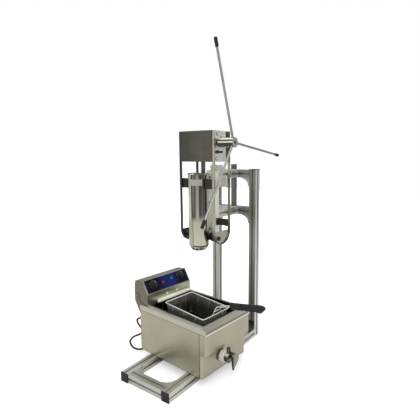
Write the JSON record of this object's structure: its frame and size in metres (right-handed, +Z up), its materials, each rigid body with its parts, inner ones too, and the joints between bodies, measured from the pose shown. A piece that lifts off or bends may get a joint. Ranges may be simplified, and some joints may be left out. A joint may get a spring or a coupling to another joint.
{
  "type": "churro maker",
  "caption": "Crank-driven rack-and-pinion dough press on a slotted aluminium stand above an electric fryer with a lift-out basket and a drain valve.",
  "frame": {"origin": "middle of the underside of the cross member at the open end of the base, on the floor", "axes": "+X along the base from the open end to the posts, -Y towards the side with the crank and the basket handle, +Z up"},
  "size_m": [0.7914, 0.8147, 1.3826],
  "materials": {
    "profile": "satin anodised",
    "cast_aluminium": "matte die cast",
    "black_plastic": "matte",
    "bolts": "zinc plated",
    "dark_steel": "machined",
    "press_steel": "brushed stainless",
    "polished_steel": "polished stainless",
    "bronze": "machined",
    "grip_rubber": "matte",
    "fryer_steel": "brushed stainless",
    "panel_blue": "satin",
    "lamp_plastic": "gloss, one red and one green",
    "wire_chrome": "bright nickel wire",
    "handle_plastic": "matte, ribbed",
    "valve_chrome": "plated",
    "cord_rubber": "matte"
  },
  "bodies": {
    "machine": {"base_rails": "profile", "base_crosses": "profile", "posts": "profile", "upper_beam": "profile", "lower_beam": "profile", "upper_arm": "profile", "lower_arm": "profile", "press_upright": "profile", "back_bar": "dark_steel", "end_caps": "black_plastic", "corner_gussets": "cast_aluminium", "arm_brackets": "cast_aluminium", "stand_bolts": "bolts", "side_hoops": "press_steel", "gearbox_cover": "press_steel", "gearbox_sides": "press_steel", "gearbox_shell": "press_steel", "rack_guides": "dark_steel", "shaft_bushes": "bronze", "saddle_band": "press_steel", "back_tabs": "press_steel", "hoop_webs": "press_steel", "spine_plate": "press_steel", "head_bracket": "dark_steel", "barrel": "polished_steel", "barrel_cradle": "press_steel", "pivot_pins": "bolts", "press_bolts": "bolts", "fryer_casing": "fryer_steel", "fryer_front": "fryer_steel", "fryer_floor": "fryer_steel", "fryer_deck": "fryer_steel", "oil_tank": "fryer_steel", "control_head": "fryer_steel", "control_panel": "panel_blue", "pilot_lamps": "lamp_plastic", "element_cover": "fryer_steel", "heating_element": "dark_steel", "drain_valve": "valve_chrome", "cord_gland": "black_plastic", "cord_lead": "cord_rubber", "cord_coil": "cord_rubber", "cord_plug": "cord_rubber"},
    "crank": {"pinion_shaft": "dark_steel", "crank_hub": "press_steel", "crank_spokes": "polished_steel", "spoke_grips": "grip_rubber"},
    "plunger": {"rack": "dark_steel", "piston": "cast_aluminium", "piston_seal": "grip_rubber"},
    "nozzle": {"nozzle_nut": "press_steel", "nozzle_plate": "press_steel"},
    "thermostat": {"thermostat_knob": "black_plastic"},
    "timer": {"timer_knob": "black_plastic"},
    "basket": {"basket_frame": "wire_chrome", "basket_mesh": "wire_chrome", "handle_grip": "handle_plastic"},
    "drain_lever": {"valve_lever": "valve_chrome"}
  },
  "joints": [
    {"name": "wheel_turn", "type": "hinge", "parent": "machine", "child": "crank", "pos_m": [0.356, -0.12, 0.997], "axis": [0, -1, 0], "range_deg": [0, 1412]},
    {"name": "rack_slide", "type": "slide", "parent": "machine", "child": "plunger", "axis": [0, 0, 1], "range_m": [0, 0.345]},
    {"name": "nozzle_removal", "type": "slide", "parent": "machine", "child": "nozzle", "axis": [0, 0, -1], "range_m": [0, 0.04]},
    {"name": "thermostat_turn", "type": "hinge", "parent": "machine", "child": "thermostat", "pos_m": [0.20178, 0.16429, 0.34553], "axis": [-0.0769, -0.8445, 0.53], "range_deg": [0, 270]},
    {"name": "timer_turn", "type": "hinge", "parent": "machine", "child": "timer", "pos_m": [0.36728, 0.15135, 0.34892], "axis": [-0.0769, -0.8445, 0.53], "range_deg": [0, 300]},
    {"name": "basket_lift", "type": "slide", "parent": "machine", "child": "basket", "axis": [0, 0, 1], "range_m": [0, 0.16]},
    {"name": "drain_turn", "type": "hinge", "parent": "machine", "child": "drain_lever", "pos_m": [0.23668, -0.2356, 0.12], "axis": [0, 0, 1], "range_deg": [0, 90]}
  ],
  "couplings": [
    {"joint": "rack_slide", "follows": "wheel_turn", "m_per_rad": 0.014}
  ]
}
